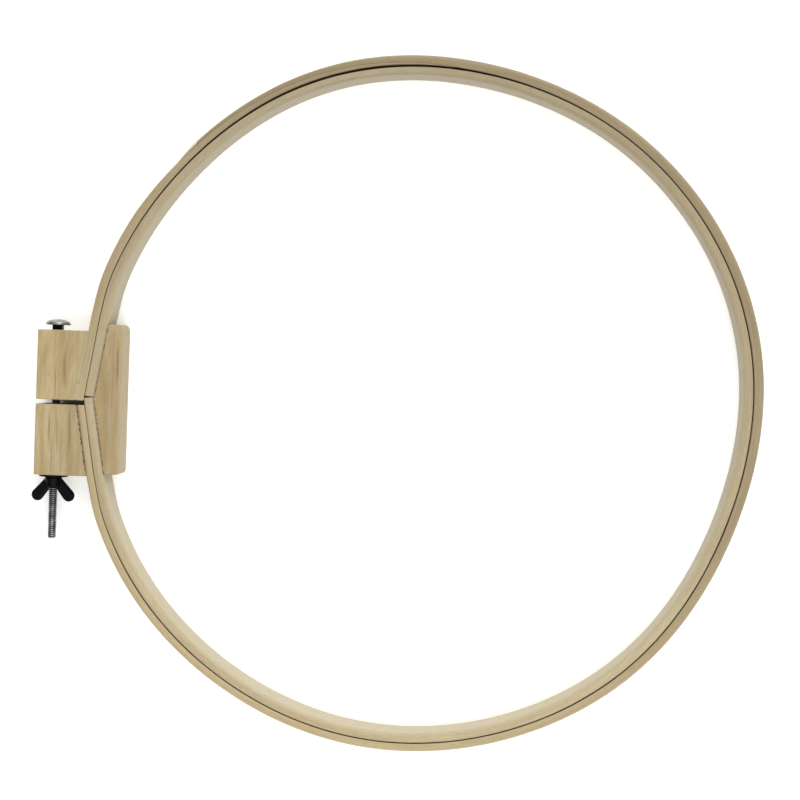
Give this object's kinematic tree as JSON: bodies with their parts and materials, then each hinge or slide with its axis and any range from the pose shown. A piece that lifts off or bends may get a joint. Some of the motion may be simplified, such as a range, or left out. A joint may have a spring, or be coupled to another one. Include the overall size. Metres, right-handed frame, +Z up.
{
  "type": "embroidery hoop",
  "caption": "Round wooden embroidery and quilting hoop: inner and split outer bentwood rings, drawn together by a carriage bolt and wing nut through wooden clamp blocks.",
  "frame": {"origin": "middle of the bounding box, on the surface that the hoop lies on", "axes": "+Z up through the opening; the clamp is on the -X side and its bolt runs along Y, with the wing nut towards -Y"},
  "size_m": [0.3896, 0.3692, 0.0254],
  "materials": {
    "bent_wood": "bare sanded bentwood, pale tan",
    "block_wood": "bare sanded hardwood with brown streaks",
    "zinc_steel": "zinc-plated, dulled",
    "black_steel": "black oxide, slightly glossy",
    "nail_steel": "bright wire nails"
  },
  "bodies": {
    "inner_hoop": {"inner_ring": "bent_wood", "inner_block": "block_wood", "inner_brad_1": "nail_steel", "inner_brad_2": "nail_steel", "inner_brad_3": "nail_steel", "inner_brad_4": "nail_steel"},
    "outer_back": {"outer_strip_back": "bent_wood"},
    "outer_upper": {"outer_strip_upper": "bent_wood", "outer_strip_end": "bent_wood", "outer_block_upper": "block_wood", "upper_brad_1": "nail_steel", "upper_brad_2": "nail_steel", "lap_brad_1": "nail_steel", "lap_brad_2": "nail_steel"},
    "outer_lower": {"outer_strip_lower": "bent_wood", "outer_block_lower": "block_wood", "lower_brad_1": "nail_steel", "lower_brad_2": "nail_steel"},
    "bolt": {"carriage_bolt": "zinc_steel"},
    "washer": {"washer": "black_steel"},
    "wing_nut": {"wing_nut": "black_steel"}
  },
  "joints": [
    {"name": "outer_ring_lift", "type": "slide", "parent": "inner_hoop", "child": "outer_back", "axis": [0, 0, 1], "range_m": [0, 0.045]},
    {"name": "upper_arm_open", "type": "hinge", "parent": "outer_back", "child": "outer_upper", "pos_m": [0.19214, 0.00958, 0.0127], "axis": [0, 0, -1], "range_deg": [-0.08, 0.97]},
    {"name": "lower_arm_open", "type": "hinge", "parent": "outer_back", "child": "outer_lower", "pos_m": [0.1913, -0.00924, 0.0127], "axis": [0, 0, 1], "range_deg": [-0.08, 0.97]},
    {"name": "bolt_shift", "type": "slide", "parent": "outer_back", "child": "bolt", "axis": [0, 1, 0], "range_m": [-0.00053, 0.00636]},
    {"name": "washer_travel", "type": "slide", "parent": "bolt", "child": "washer", "axis": [0, -1, 0], "range_m": [-0.00106, 0.0127]},
    {"name": "wing_nut_turn", "type": "hinge", "parent": "washer", "child": "wing_nut", "pos_m": [-0.18299, -0.04885, 0.0127], "axis": [0, -1, 0], "range_deg": [-360.07, 4322.16]}
  ],
  "couplings": [
    {"joint": "upper_arm_open", "follows": "washer_travel", "rad_per_m": 1.3344},
    {"joint": "lower_arm_open", "follows": "washer_travel", "rad_per_m": 1.3344},
    {"joint": "bolt_shift", "follows": "washer_travel", "ratio": 0.50056},
    {"joint": "wing_nut_turn", "follows": "washer_travel", "rad_per_m": 5936.9}
  ]
}
